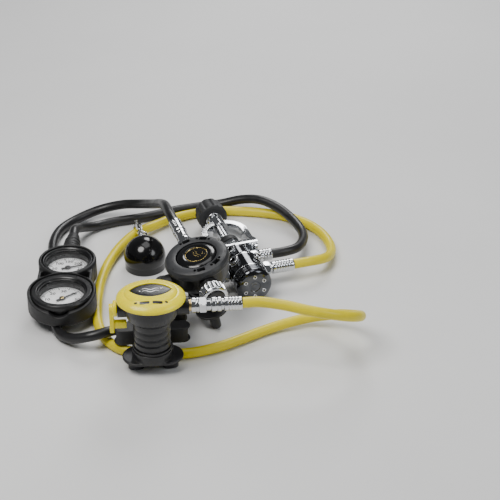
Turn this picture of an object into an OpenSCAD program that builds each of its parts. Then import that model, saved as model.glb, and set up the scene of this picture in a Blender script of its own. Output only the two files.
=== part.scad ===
// Scuba regulator set: yoke first stage, primary and spare second stages,
// two gauge console, three hoses and a mouthpiece holder, laid out on a table.
// Millimetres, +Z up.

/* [First stage] */
// Diameter of the low pressure barrel
fs_d = 44; // [40:1:46]
// Diameter of the high pressure neck
neck_d = 32; // [28:1:34]
// Diameter of the inlet boss that seats in the cylinder valve
boss_d = 16.4; // [15.6:0.1:16.6]
// Width of the yoke opening
yoke_w = 44; // [40:1:46]
// Length of the yoke, from the body to the end of its arch
yoke_l = 71; // [68:1:74]
// Diameter of the yoke screw
screw_d = 12; // [10:0.5:13]
// Diameter of the yoke hand wheel
knob_d = 38; // [32:1:39]

/* [Hoses] */
// Outside diameter of the hoses
hose_d = 12; // [10:0.5:12]
// Number of sides of each hose tube
hose_sides = 10; // [8:1:12]

/* [Primary second stage] */
// Radius of the case
pr = 34.5; // [34:0.1:35]
// Radius of the purge button
pb = 23.5; // [22:0.1:23.8]

/* [Spare second stage] */
// Radius of the case
orad = 30.5; // [30:0.1:30.8]
// Half width of the oval cover
oa = 38; // [37:0.5:39]
// Half depth of the oval cover
ob = 33; // [32.8:0.1:34]

/* [Console] */
// Distance between the two gauge centres
pitch_y = 68; // [67:0.5:70]
// Radius of the boot around the front gauge
boot_f = 40; // [39:0.5:41]
// Radius of the boot around the rear gauge
boot_r = 34.5; // [34.5:0.5:36]

/* [Hidden] */
$fn = 48;
// shift from the layout numbers to the middle of the set
ox = 101.83; oy = 109.365;
fs_z = fs_d / 2;

function L(p) = [p[0] + ox, p[1] + oy, p[2]];

// hose routes, layout numbers, end to end
octopus_route = [[52.5,-69.3,22],[71,-63.3,22],[89,-50,18],[99,-26,10],[100,2,6.2],[91,30,6.2],[74,54,6.2],
  [50,72,6.2],[22,82,6.2],[-8,87,6.2],[-40,88,6.2],[-70,82,6.2],[-98,68,7],[-120,47,9],[-142,23,12],
  [-160,-4,9],[-172,-36,6.2],[-178,-70,6.2],[-180,-105,6.2],[-179,-140,6.2],[-175,-175,6.2],
  [-165,-205,6.2],[-146,-226,6.2],[-121,-235,6.2],[-93,-237,6.2],[-65,-234,6.2],[-38,-224,6.2],
  [-13,-209,6.2],[12,-192,6.2],[40,-178,8],[70,-171,12],[99,-177,20],[119,-195,31],[124,-218,45],
  [113,-239,58],[91,-252,69],[65,-255,76],[38,-250,80],[12,-245.4,81.2],[-8,-247,81.4]];
primary_route = [[-59.1,-105.6,22],[-77,-111.5,22],[-95,-121,14],[-112,-135,8],[-125,-153,7],[-134,-175,8],
  [-142,-196,14],[-158,-212,20.5],[-179,-220,19],[-201,-213,11],[-217,-197,7],[-225,-174,6.2],
  [-229,-146,6.2],[-231,-116,6.2],[-234,-86,6.2],[-238,-56,6.2],[-243,-24,6.2],[-246,8,6.2],
  [-240,40,6.2],[-221,66,7],[-194,81,12],[-165,80,20],[-140,66,29],[-123,41,43],[-111,13,59],
  [-103.5,-16,73],[-96.7,-45.3,78.7],[-89.6,-66.1,77.4]];
console_route = [[-217.7,-14,27],[-217.7,4,27],[-213,26,17],[-196,47,7.5],[-174,60,6.2],[-148,68,6.2],
  [-122,78,6.2],[-96,90,6.2],[-67,99,6.2],[-38,104,8],[-10,101,16],[14,90,21],[36,74,19],[54,53,14],
  [65,27,12],[66,0,15],[58,-27,20],[43,-39.8,22],[25.8,-45.4,22]];

// ---------------------------------------------------------------- helpers
// cylinder along X from x0 to x1
module cx(r, x0, x1) translate([x0, 0, 0]) rotate([0, 90, 0]) cylinder(r = r, h = x1 - x0);
// turned shape along X, profile given as [radius, x]
module turned_x(pts) rotate([0, 90, 0]) rotate_extrude() polygon(pts);
// hexagonal nut along X
module hex_x(r, x0, x1) translate([x0, 0, 0]) rotate([0, 90, 0]) cylinder(r = r, h = x1 - x0, $fn = 6);
// two round ends joined by a bar, w centre to centre
module stadium(w, r) union() {
  translate([-w / 2, 0]) circle(r);
  translate([w / 2, 0]) circle(r);
  square([w, 2 * r], center = true);
}
// pointed oval of half length a and half height b
module almond(a, b) {
  R = (a * a + b * b) / (2 * b);
  intersection() {
    translate([0, R - b]) circle(R, $fn = 96);
    translate([0, b - R]) circle(R, $fn = 96);
  }
}
// skin through a stack of rings with the same number of points
module loft(rs) {
  n = len(rs[0]);
  m = len(rs);
  polyhedron(points = [for (r = rs) for (p = r) p],
    faces = concat([[for (i = [0:n - 1]) i]],
      [for (k = [0:m - 2]) for (i = [0:n - 1])
        [k * n + i, (k + 1) * n + i, (k + 1) * n + (i + 1) % n, k * n + (i + 1) % n]],
      [[for (i = [n - 1:-1:0]) (m - 1) * n + i]]), convexity = 6);
}
function oval(a, b, z, n = 40) = [for (i = [0:n - 1]) [a * cos(360 * i / n), b * sin(360 * i / n), z]];
function unit(v) = v / norm(v);
function cr(a, b, c, d, t) = 0.5 * (2 * b + (c - a) * t + (2 * a - 5 * b + 4 * c - d) * t * t
  + (3 * b - 3 * c + d - a) * t * t * t);
// tube swept along points; s0 and s1 are the directions at its ends
module sweep(pts, r, sides) {
  m = len(pts);
  tan = [for (i = [0:m - 1]) unit(pts[min(i + 1, m - 1)] - pts[max(i - 1, 0)])];
  sd = [for (t = tan) unit(cross(t, [0, 0, 1]))];
  up = [for (i = [0:m - 1]) cross(sd[i], tan[i])];
  loft([for (i = [0:m - 1]) [for (k = [0:sides - 1])
    pts[i] + r * cos(-360 * k / sides) * sd[i] + r * sin(-360 * k / sides) * up[i]]]);
}
// every other point of a route, with its last point, keeps the rings two or three diameters apart
module hose(route) sweep([for (p = route) L(p)], hose_d / 2, hose_sides);
// coil spring along X
module coil_x(r, w, x0, x1, turns, n = 14) {
  m = turns * n;
  sd = 6;
  loft([for (i = [0:m]) let (a = 360 * i / n, x = x0 + (x1 - x0) * i / m)
    [for (k = [0:sd - 1]) let (q = 360 * k / sd, rr = r + w * cos(q))
      [x + w * sin(q), rr * cos(a), rr * sin(a)]]]);
}

// ------------------------------------------------------- local placements
module at_first() translate(L([-18, -47, fs_z])) rotate([0, 0, 108]) children();
module at_primary() translate(L([-57.6, -160.5, 71.5])) rotate([7, 0, 0]) rotate([0, -10, 0])
  rotate([0, 0, -71]) children();
module at_octopus() translate(L([-107.5, -254.8, 81])) rotate([1, 0, 0]) rotate([0, 0, 184.5]) children();
module at_console() translate(L([-217.7, -154, 13.2])) children();
module at_ball() translate(L([-128.7, -38.4, 0])) children();
module at_hook() translate(L([-142.5, 22, 12])) rotate([0, 0, -70]) rotate([0, -30, 0]) children();

// ---------------------------------------------------------- first stage
lp_x = -43; hp_x = -12;
module port(a, x, r, r0, r1) rotate([a, 0, 0]) translate([x, 0, r0]) cylinder(r = r, h = r1 - r0);
module first_stage_body() color("#9aa0a6") at_first() difference() {
  union() {
    turned_x([[0, -62], [fs_d / 2, -62], [fs_d / 2, -31], [fs_d / 2 - 2, -28.5], [neck_d / 2, -25],
      [neck_d / 2, -1.5], [neck_d / 2 - 1.5, 0], [0, 0]]);
  }
  cx(17, -63, -30);
  cx(5.06, -31, -8);
  cx(8.5, -8, 1);
  for (a = [90, -90, 40, -40]) port(a, lp_x, 5.2, 10, 30);
  for (a = [90, -35]) port(a, hp_x, 5.2, 4, 20);
}
module end_cap() color("#8d9399") at_first() difference() {
  turned_x([[0, -78], [fs_d / 2 - 6, -78], [fs_d / 2 - 1.5, -76], [fs_d / 2, -73], [fs_d / 2, -62.05], [0, -62.05]]);
  cx(17, -72, -60);
  for (i = [0:5]) rotate([60 * i, 0, 0]) translate([-79, 0, 13]) rotate([0, 90, 0]) cylinder(r = 2.2, h = 3);
}
module piston() color("#c9b27a") at_first() difference() {
  union() { cx(16.93, -71, -65); cx(5, -65.5, -9); }
  cx(2, -72, -8);
  turned_x([[15.2, -69.4], [18, -69.4], [18, -66.8], [15.2, -66.8]]);
}
module main_spring() color("#b8bcc0") at_first() coil_x(8.4, 1.4, -61.5, -32, 6);
module valve_seat() color("#3a3a3a") at_first() difference() { cx(4.5, -7.4, -5); cx(1.2, -8, -4); }
module yoke_retainer() color("#d5d8db") at_first() difference() {
  union() {
    cx(8.4, -4.8, 0);
    cx(10.9, 0, 8.1);
    hex_x(15.5, 8.1, 14);
    cx(boss_d / 2, 14, 18);
  }
  cx(4.95, 9, 19);
  cx(2.5, -6, 10);
}
module inlet_filter() color("#b08d57") at_first() turned_x([[0, 9.2], [4.9, 9.2], [4.9, 11], [2.5, 16.5], [0, 16.5]]);
module yoke_outline() union() {
  translate([0, -yoke_w / 2 - 7]) square([42, yoke_w + 14]);
  translate([42, 0]) circle(yoke_w / 2 + 7, $fn = 96);
}
module yoke_window() union() {
  translate([8, -yoke_w / 2]) square([34, yoke_w]);
  translate([42, 0]) circle(yoke_w / 2, $fn = 96);
}
module yoke() color("#d9dcdf") at_first() difference() {
  union() {
    intersection() {
      translate([0, 0, -14]) linear_extrude(28) difference() { yoke_outline(); yoke_window(); }
      rotate([90, 0, 0]) translate([0, 0, -40]) linear_extrude(80) polygon([[0, -14], [8, -14], [22, -8.5],
        [56, -8.5], [yoke_l + 1, -8.5], [yoke_l + 1, 8.5], [56, 8.5], [22, 8.5], [8, 14], [0, 14]]);
    }
    cx(11, 62, 79);
  }
  cx(11, -1, 9);
  cx(screw_d / 2 + 0.05, 60, 80);
}
module dust_cap() color("#17181a") at_first() difference() {
  turned_x([[0, 18.3], [12.5, 18.3], [13, 19.5], [13, 26], [11.5, 29.5], [8, 32], [0, 33]]);
  translate([-1, 0, 0]) cx(3, 33, 40);
}
module screw_pad() color("#b9bdc1") at_first() cx(7.5, 33.4, 37.4);
module yoke_screw() color("#c4c8cc") at_first() cx(screw_d / 2, 37.8, 89.9);
module yoke_knob() color("#1c1d1f") at_first() difference() {
  turned_x([[0, 90], [knob_d / 2 - 4, 90], [knob_d / 2 - 1, 91.5], [knob_d / 2, 94], [knob_d / 2 - 1, 112],
    [knob_d / 2 - 3, 116], [knob_d / 2 - 6, 118], [0, 118]]);
  for (i = [0:11]) rotate([30 * i, 0, 0]) translate([89, 0, knob_d / 2 + 2.2]) rotate([0, 90, 0]) cylinder(r = 3.4, h = 31);
}
module plug(a, x, r0) rotate([a, 0, 0]) translate([x, 0, r0]) difference() {
  union() { cylinder(r = 6.8, h = 4.2); translate([0, 0, -4.2]) cylinder(r = 5.15, h = 4.3); }
  translate([0, 0, 1.4]) cylinder(r = 2.9, h = 4, $fn = 6);
}
module port_plugs() color("#d2d5d8") at_first() {
  plug(40, lp_x, fs_d / 2 + 0.1);
  plug(-40, lp_x, fs_d / 2 + 0.1);
  plug(-35, hp_x, neck_d / 2 + 0.1);
}
// hose end: threaded shank, hexagon, crimped ferrule
module fitting(a, x, r0, r1) rotate([a, 0, 0]) translate([x, 0, 0]) {
  translate([0, 0, r0 - 4.5]) cylinder(r = 5.15, h = 4.7);
  translate([0, 0, r0 + 0.1]) cylinder(r = 8.6, h = 7, $fn = 6);
  translate([0, 0, r0 + 7]) cylinder(r = 6.2, h = 3);
  translate([0, 0, r0 + 9.9]) rotate_extrude() polygon([[0, 0], [7, 0], [7.6, 1], [7.6, (r1 - r0) - 11.5], [7, r1 - r0 - 9.9], [0, r1 - r0 - 9.9]]);
}
module primary_hose_fitting() color("#cfd2d5") at_first() fitting(-90, lp_x, fs_d / 2, 56.9);
module octopus_hose_fitting() color("#cfd2d5") at_first() fitting(90, lp_x, fs_d / 2, 59.5);
module console_hose_fitting() color("#cfd2d5") at_first() fitting(90, hp_x, neck_d / 2, 42);

module primary_hose() color("#1d1e20") hose(primary_route);
module octopus_hose() color("#e3cf1e") hose(octopus_route);
module console_hose() color("#1d1e20") hose(console_route);

// ------------------------------------------------- shared second stage parts
module valve_barrel() difference() {
  union() { cx(7.6, -33, 31); cx(6.6, -46, -32.9); }
  cx(5.4, -26, 32);
  cx(1.6, -47, -25);
}
module poppet() difference() { union() { cx(5.1, -24, 10); cx(3.4, 10, 27); } cx(1.2, -25, 28); }
// hinged about a cross axis at x = 24, z = 8.8
module demand_lever() {
  translate([24, 0, 8.8]) rotate([90, 0, 0]) translate([0, 0, -7]) cylinder(r = 1.1, h = 14);
  for (s = [-1, 1]) rotate([90, 0, 0]) translate([0, 0, s * 4.5 - 0.7]) linear_extrude(1.4)
    polygon([[24.8, 7.9], [24.6, 9.8], [3, 12.2], [2.6, 11.2]]);
  translate([3, 0, 11.4]) rotate([90, 0, 0]) translate([0, 0, -6]) cylinder(r = 0.9, h = 12);
}
module diaphragm(r, z) difference() {
  rotate_extrude() polygon([[0, z], [r, z], [r, z + 0.6], [13, z + 0.6], [12, z + 0.8], [0, z + 0.8]]);
  translate([0, 0, z - 1]) cylinder(r = 1, h = 3);
}
// soft mouthpiece below z = zt: sleeve, lip shield and two bite lugs
module mouthpiece(zt, zb, ri, ro, zf) {
  difference() {
    union() {
      translate([0, 0, zf]) cylinder(r = ro, h = zt - zf);
      translate([0, 0, zf - 2.6]) linear_extrude(2.7) stadium(30, 19);
    }
    translate([0, 0, zf + 6]) cylinder(r = ri, h = zt - zf);
    translate([0, 0, zf - 4]) linear_extrude(11) stadium(12, 6.5);
  }
  for (s = [-1, 1]) difference() {
    translate([s * 19, 0, zb]) linear_extrude(zf - 2.5 - zb) stadium(7, 5.5);
    translate([s * 19, 0, zb - 1]) linear_extrude(2.2) stadium(8, 3.2);
  }
}
module tie(r, z, h) translate([0, 0, z]) rotate_extrude() polygon([[r, 0], [r + 1.3, 0.3], [r + 1.3, h - 0.3], [r, h]]);
// exhaust tee on the -Y side: socket, riser and two hollow wings
module exhaust_tee(y0, z1, zw, hw, wx, rs, wy) difference() {
  union() {
    translate([0, y0, 0]) rotate([90, 0, 0]) cylinder(r = rs + 2, h = 12);
    translate([0, y0 - 7, z1]) linear_extrude(-z1) stadium(14, 5);
    translate([0, wy, zw]) linear_extrude(hw) stadium(2 * wx - 18, 9);
  }
  translate([0, y0 + 1, 0]) rotate([90, 0, 0]) cylinder(r = rs, h = 5.5);
  for (s = [-1, 1]) translate([s * (wx + 8), wy, zw + hw / 2]) cube([23, 12, hw - 4.4], center = true);
}

// ---------------------------------------------------- primary second stage
pz0 = -16;
module primary_case() color("#232427") at_primary() difference() {
  union() {
    rotate_extrude() polygon([[0, pz0], [22, pz0], [30, -12], [pr - 0.6, -4], [pr, 12], [0, 12]]);
    translate([0, 0, -38]) cylinder(r = 16, h = 24);
    cx(10.8, -41, -25);
    cx(10.8, 25, 38.5);
    turned_x([[0, 38], [12.4, 38], [12.4, 39.4], [11.2, 40], [12.4, 40.6], [12.4, 42], [11.2, 42.6], [12.4, 43.2], [12.4, 44.4], [0, 44.4]]);
    translate([0, -24, -6]) rotate([90, 0, 0]) cylinder(r = 9, h = 12.5);
  }
  rotate_extrude() polygon([[0, pz0 + 2.2], [21.2, pz0 + 2.2], [28.5, -10.2], [pr - 2.8, -3.4], [pr - 2.2, 12.5], [0, 12.5]]);
  translate([0, 0, -39]) cylinder(r = 13.5, h = 30);
  cx(7.65, -42, 33);
  cx(4.6, 30, 45);
  translate([0, -20, -6]) rotate([90, 0, 0]) cylinder(r = 6.5, h = 18);
}
module primary_cover_ring() color("#3a3b3e") at_primary() difference() {
  rotate_extrude() polygon([[pb + 0.35, 15.2], [32.8, 15.2], [32.8, 12.1], [pr + 0.1, 12.1], [pr + 0.1, 11.2],
    [36.8, 11.4], [37.4, 13], [37, 16.5], [35, 19.6], [31.5, 21.2], [27.5, 21.4], [pb + 0.35, 20.4]]);
  for (a = [20, 48, 132, 160, 200, 340]) rotate([0, 0, a]) translate([29.3, 0, 14])
    linear_extrude(12) stadium(0.1, 1.7);
  for (a = [34, 146, 186, 354]) rotate([0, 0, a]) translate([26.5, -4.5, 14]) cube([5.6, 9, 12]);
}
module primary_purge_button() color("#0d0e10") at_primary() difference() {
  rotate_extrude() polygon([[0, 17], [20, 17], [pb, 16.8], [pb, 19.2], [21.5, 20.6], [17, 21.2], [13.4, 21.3], [13.4, 20.4], [0, 20.4]]);
  translate([0, 0, 20.2]) difference() { cylinder(r = 13.4, h = 3); }
}
module primary_badge() color("#b89a4a") at_primary() translate([0, 0, 20.45]) rotate_extrude()
  polygon([[0, 0], [13.2, 0], [13.2, 0.8], [12.6, 1.3], [12, 0.9], [0, 1.3]]);
module primary_diaphragm() color("#57595c") at_primary() diaphragm(32.2, 12.9);
module primary_lever() color("#c9ccd0") at_primary() demand_lever();
module primary_valve_barrel() color("#c7b079") at_primary() valve_barrel();
module primary_poppet() color("#d8d9da") at_primary() poppet();
module primary_adjust_knob() color("#1a1b1d") at_primary() difference() {
  union() {
    cx(4.5, 31.6, 46);
    turned_x([[0, 44.8], [13, 44.8], [15, 46.4], [15.5, 49.4], [15.5, 57], [14, 60.5], [10, 62.5], [0, 63]]);
  }
  for (i = [0:17]) rotate([20 * i, 0, 0]) translate([48.4, 0, 16.6]) rotate([0, 90, 0]) cylinder(r = 1.9, h = 8);
}
module primary_exhaust_valve() color("#4c4e52") at_primary() translate([0, -36.6, -6]) rotate([90, 0, 0])
  cylinder(r = 8.2, h = 0.7);
module primary_exhaust_tee() color("#18191b") at_primary() translate([0, 0, -6]) exhaust_tee(-34, -20, -29, 14, 40, 9.2, -41);
module primary_mouthpiece() color("#141517") at_primary() mouthpiece(-24, -70, 16.1, 18.6, -48);
module primary_mouthpiece_tie() color("#0f1011") at_primary() tie(18.65, -33, 4);
module primary_hose_nut() color("#d3d6d9") at_primary() {
  difference() { union() { hex_x(10, -55, -43.5); cx(8.4, -60, -54.9); } cx(6.65, -47, -43); }
  turned_x([[0, -99.9], [7, -99.9], [7.7, -99], [7.7, -82], [8.1, -81], [8.1, -77], [7.4, -76], [7.4, -64], [6.4, -60.1], [0, -60.1]]);
}

// ------------------------------------------------------ spare second stage
module octopus_case() color("#1b1c1e") at_octopus() difference() {
  union() {
    rotate_extrude() polygon([[0, -15], [21, -15], [27.5, -9], [orad - 0.3, 0], [orad, 12], [0, 12]]);
    rotate_extrude() polygon([[0, -57.2], [19.2, -57.2], [19.6, -48], [20.4, -47], [20.4, -42], [19.6, -40.6], [20.6, -38],
      [20.6, -35.4], [19.7, -32.6], [20.8, -29.6], [20.8, -26.8], [19.9, -23.6], [21, -20.6], [21.4, -17], [21.4, -15], [0, -14]]);
    cx(10, -41, -22);
    cx(10, 22, 37);
    translate([0, -20, -6]) rotate([90, 0, 0]) cylinder(r = 9, h = 12.5);
  }
  rotate_extrude() polygon([[0, -12.8], [20, -12.8], [25.5, -7.6], [orad - 2.5, 0.6], [orad - 2.2, 12.5], [0, 12.5]]);
  translate([0, 0, -60]) cylinder(r = 16.5, h = 51);
  cx(7.65, -42, 33);
  cx(4.6, 30, 38);
  translate([0, -17, -6]) rotate([90, 0, 0]) cylinder(r = 6.5, h = 18);
}
module octopus_cover() color("#f4e11a") at_octopus() difference() {
  loft([oval(oa - 1.5, ob - 1, 10.2), oval(oa - 0.3, ob - 0.2, 10.8), oval(oa, ob, 12.2), oval(oa - 0.6, ob - 0.6, 14),
    oval(oa - 3, ob - 3, 16.8), oval(oa - 7.5, ob - 7.5, 19.3), oval(oa - 13, ob - 14, 21.3), oval(oa - 19, ob - 20, 22.3)]);
  loft([oval(oa - 2.4, ob - 2, 9), oval(oa - 2.4, ob - 2, 12.3), oval(oa - 5, ob - 5, 14.6), oval(oa - 10, ob - 10, 17.2),
    oval(oa - 16, ob - 17, 18.6)]);
  translate([0, 0, 15]) linear_extrude(10) almond(23.4, 12.9);
  for (x = [-7, 7]) translate([x, 21.5, 14]) cube([10.5, 3.4, 12], center = true);
  for (x = [-16.5, 16.5]) translate([x, 20.5, 14]) cube([3.4, 2.6, 12], center = true);
}
module octopus_purge_pad() color("#26272a") at_octopus() translate([0, 0, 18.9]) linear_extrude(3) almond(23, 12.5);
module octopus_diaphragm() color("#57595c") at_octopus() diaphragm(28.2, 12.9);
module octopus_lever() color("#c9ccd0") at_octopus() demand_lever();
module octopus_valve_barrel() color("#c7b079") at_octopus() valve_barrel();
module octopus_poppet() color("#d8d9da") at_octopus() poppet();
// turns about the barrel axis; hangs down beside the case with a finger tab
module octopus_venturi_lever() color("#f2df1c") at_octopus() {
  cx(4.5, 31.6, 38);
  cx(9, 37.4, 41.5);
  translate([41, 0, 0]) rotate([0, 90, 0]) linear_extrude(5) union() { circle(5.5); translate([0, -4.5]) square([27, 9]); translate([27, 0]) circle(4.5); }
  translate([27.5, 0, -20.5]) rotate([0, 90, 0]) linear_extrude(14) stadium(5, 3);
}
module octopus_exhaust_valve() color("#4c4e52") at_octopus() translate([0, -32.6, -6]) rotate([90, 0, 0]) cylinder(r = 8.2, h = 0.7);
module octopus_exhaust_tee() color("#18191b") at_octopus() translate([0, 0, -6]) exhaust_tee(-30, -50, -61, 19, 43, 9.2, -33.2);
module octopus_mouthpiece() color("#141517") at_octopus() mouthpiece(-49.5, -80, 19.7, 21.4, -63.5);
module octopus_mouthpiece_tie() color("#0f1011") at_octopus() tie(21.45, -56.5, 4.5);
module octopus_hose_swivel() color("#d3d6d9") at_octopus() {
  difference() { union() { cx(8.6, -52, -43.5); hex_x(9.6, -60, -51.9); } cx(6.65, -47, -43); }
  turned_x([[0, -99.6], [7, -99.6], [7.7, -98.6], [7.7, -80], [6.6, -79], [6.6, -77], [8.2, -76], [8.2, -66],
    [6.8, -65], [6.8, -60.1], [0, -60.1]]);
}

// --------------------------------------------------------------- console
ch = 26.8;
fw = 33.2; rw = 30.7;
module cup(r, h, c) rotate_extrude() union() {
  square([r - c, h]);
  translate([0, c]) square([r, h - 2 * c]);
  translate([r - c, c]) circle(c);
  translate([r - c, h - c]) circle(c);
}
module console_boot() color("#1a1b1d") at_console() difference() {
  union() {
    cup(boot_f, ch, 3.2);
    translate([0, pitch_y, 0]) cup(boot_r, ch, 2.6);
    translate([-32, 14, 1]) cube([64, 44, ch - 5]);
    translate([0, pitch_y + boot_r - 4, 13.8]) rotate([-90, 0, 0]) cylinder(r = 11.5, h = 10);
  }
  translate([0, 0, 3]) cylinder(r = fw, h = 30);
  translate([0, pitch_y, 3]) cylinder(r = rw, h = 30);
  for (s = [-1, 1]) translate([0, 0, -1]) linear_extrude(40) polygon([[s * 14, 35.4], [s * 27.5, 26], [s * 28.5, 29], [s * 28.5, 43], [s * 26.5, 45.5]]);
  translate([0, 0, 18.9]) cylinder(r = 36.4, h = 12);
  translate([0, 0, ch]) rotate([13.8, 0, 0]) translate([-50, -60, 0]) cube([100, 60, 30]);
  translate([0, -boot_f - 5, 27]) rotate([-90, 0, 0]) cylinder(r = 14.5, h = 13);
  translate([0, pitch_y + boot_r - 6, 13.8]) rotate([-90, 0, 0]) cylinder(r = 8.1, h = 20);
}
// rubber bend guard on the console's hose, with three rings
module console_hose_sleeve() color("#151618") at_console() translate([0, pitch_y + boot_r + 0.2, 13.8]) rotate([-90, 0, 0])
  rotate_extrude() polygon([[0, -1], [8, -1], [8, 6.1], [10.8, 6.6], [11, 10], [9.6, 10.6], [9.6, 13], [10.6, 13.6], [10.4, 17.4], [9.2, 18],
    [9.2, 20.4], [10, 21], [9.8, 24.8], [8.6, 25.4], [8.4, 30], [7.4, 37.2], [0, 37.2]]);
module gauge_case(r, ro) translate([0, 0, 3.1]) difference() {
  rotate_extrude() polygon([[0, 0], [r - 1, 0], [r, 1], [r, 20.6], [r - 1.4, 22.2], [ro + 1.6, 22.2], [ro, 20.8], [ro, 18], [0, 18]]);
  translate([0, 0, 8]) cylinder(r = ro - 1, h = 20);
  translate([0, 0, 17.4]) cylinder(r = ro, h = 10);
}
module dial(ro) translate([0, 0, 11.2]) difference() { cylinder(r = ro - 1.4, h = 1.2); translate([0, 0, -1]) cylinder(r = 1.3, h = 4); }
module needle(len, a) translate([0, 0, 13.6]) rotate([0, 0, a]) union() {
  translate([0, 0, -2.2]) cylinder(r = 1.1, h = 3.4);
  cylinder(r = 3.4, h = 1.5);
  linear_extrude(0.9) polygon([[-8, -1.4], [len, -0.5], [len, 0.5], [-8, 1.4]]);
}
module lens(ro) translate([0, 0, 20.6]) cylinder(r = ro - 0.15, h = 1.8);
module depth_gauge_case() color("#202124") at_console() union() {
  gauge_case(33, 27.8);
  translate([0, 0, 3.1]) rotate_extrude() polygon([[31, 15.9], [36.1, 15.9], [36.1, 20.2], [34.4, 22.2], [31, 22.2]]);
}
module depth_dial() color("#eef0f1") at_console() dial(27.8);
module depth_needle() color("#1a1a1a") at_console() needle(19, 40);
module depth_lens() color("#e8f0f2", 0.3) at_console() lens(27.8);
module pressure_gauge_case() color("#202124") at_console() translate([0, pitch_y, 0]) gauge_case(30.5, 26.3);
module pressure_dial() color("#eef0f1") at_console() translate([0, pitch_y, 0]) dial(26.3);
module pressure_needle() color("#1a1a1a") at_console() translate([0, pitch_y, 0]) needle(18, 20);
module pressure_lens() color("#e8f0f2", 0.3) at_console() translate([0, pitch_y, 0]) lens(26.3);

// ----------------------------------------------------- mouthpiece holder
module holder_ball() color("#0e0f10") at_ball() difference() {
  union() {
    translate([0, 0, 15]) sphere(r = 25.5, $fn = 64);
    cylinder(r = 24.6, h = 8);
  }
  translate([0, 0, -30]) cylinder(r = 40, h = 30);
  translate([0, 0, 14]) sphere(r = 21.8, $fn = 64);
  translate([0, 0, -1]) cylinder(r = 19, h = 12);
}
module ring_wire(rm, w) rotate_extrude() translate([rm, 0]) circle(w, $fn = 20);
module holder_swivel() color("#cfd2d5") at_ball() translate([0, 0, 15]) rotate([0, 0, 97]) rotate([0, -15, 0]) {
  cx(4.2, 25.55, 28.6);
  cx(2.2, 28.5, 32.6);
  translate([36.6, 0, 0]) ring_wire(4.4, 1.2);
}
module snap_hook() color("#d3d6d9") at_hook() {
  difference() {
    rotate([90, 0, 0]) translate([0, 0, -1.7]) linear_extrude(3.4) difference() { circle(11.7); circle(9); }
    translate([1, -5, 3]) cube([8.6, 10, 12]);
  }
  difference() {
    union() { cx(4, 10.4, 22.5); translate([12.4, -2.8, 0]) cube([9.4, 5.6, 11.2]); }
    translate([0, 0, 8.6]) cx(1.75, 5, 40);
    translate([6, -1.6, 8.6]) cube([10.4, 3.2, 4]);
  }
  translate([26, 0, 0]) rotate([90, 0, 0]) ring_wire(4.6, 1.25);
}
module snap_bolt() color("#c3c7cb") at_hook() translate([0, 0, 8.6]) {
  cx(1.5, 1.3, 25);
  translate([8.4, 0, 1.2]) cylinder(r = 1.3, h = 5);
  translate([8.4, 0, 5.8]) cylinder(r = 2.2, h = 1.6);
}

first_stage_body();
end_cap();
piston();
main_spring();
valve_seat();
inlet_filter();
yoke_retainer();
yoke();
screw_pad();
yoke_screw();
yoke_knob();
dust_cap();
port_plugs();
primary_hose_fitting();
octopus_hose_fitting();
console_hose_fitting();
primary_hose();
octopus_hose();
console_hose();
primary_case();
primary_cover_ring();
primary_purge_button();
primary_badge();
primary_diaphragm();
primary_lever();
primary_valve_barrel();
primary_poppet();
primary_adjust_knob();
primary_exhaust_valve();
primary_exhaust_tee();
primary_mouthpiece();
primary_mouthpiece_tie();
primary_hose_nut();
octopus_case();
octopus_cover();
octopus_purge_pad();
octopus_diaphragm();
octopus_lever();
octopus_valve_barrel();
octopus_poppet();
octopus_venturi_lever();
octopus_exhaust_valve();
octopus_exhaust_tee();
octopus_mouthpiece();
octopus_mouthpiece_tie();
octopus_hose_swivel();
console_boot();
console_hose_sleeve();
pressure_gauge_case();
pressure_dial();
pressure_needle();
pressure_lens();
depth_gauge_case();
depth_dial();
depth_needle();
depth_lens();
holder_ball();
holder_swivel();
snap_hook();
snap_bolt();
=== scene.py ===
"""Looks for the scuba regulator set: first stage on a yoke, primary and octopus second stages, two-gauge console,
three hoses and the ball-type octopus holder. All sizes in mm below are turned into metres by MM."""
import math
import bpy
import bmesh
from mathutils import Matrix, Vector, noise


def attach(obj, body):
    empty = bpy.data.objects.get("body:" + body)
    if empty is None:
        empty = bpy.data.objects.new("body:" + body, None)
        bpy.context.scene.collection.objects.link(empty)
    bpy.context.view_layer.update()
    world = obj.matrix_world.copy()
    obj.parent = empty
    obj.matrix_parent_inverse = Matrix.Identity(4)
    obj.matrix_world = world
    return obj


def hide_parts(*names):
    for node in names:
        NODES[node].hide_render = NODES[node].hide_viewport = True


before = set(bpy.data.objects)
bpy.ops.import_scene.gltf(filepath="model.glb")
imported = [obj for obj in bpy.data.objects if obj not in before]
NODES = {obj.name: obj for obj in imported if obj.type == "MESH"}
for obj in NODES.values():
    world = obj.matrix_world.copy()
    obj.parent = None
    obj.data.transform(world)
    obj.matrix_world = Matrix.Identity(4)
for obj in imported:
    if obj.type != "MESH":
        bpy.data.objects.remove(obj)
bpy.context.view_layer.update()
MM = 0.001
OX, OY = 101.83, 109.365

# ------------------------------------------------------------------ camera (first)
cam_data = bpy.data.cameras.new("cam")
cam_data.lens = 115.2
cam_data.sensor_width = 36.0
cam = bpy.data.objects.new("cam", cam_data)
bpy.context.scene.collection.objects.link(cam)
TARGET = Vector((OX * MM, OY * MM, 0.0))
cam.location = TARGET + 2.0 * Vector((0.0, -math.cos(math.radians(31)), math.sin(math.radians(31))))
cam.rotation_mode = "QUATERNION"
cam.rotation_quaternion = (TARGET - cam.location).to_track_quat("-Z", "Y")
cam_data.clip_start, cam_data.clip_end = 0.05, 50
bpy.context.scene.camera = cam

# ------------------------------------------------------------------ frames of the assemblies
def T(x, y, z):
    return Matrix.Translation((x * MM, y * MM, z * MM))

def R(deg, axis):
    return Matrix.Rotation(math.radians(deg), 4, axis)

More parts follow.
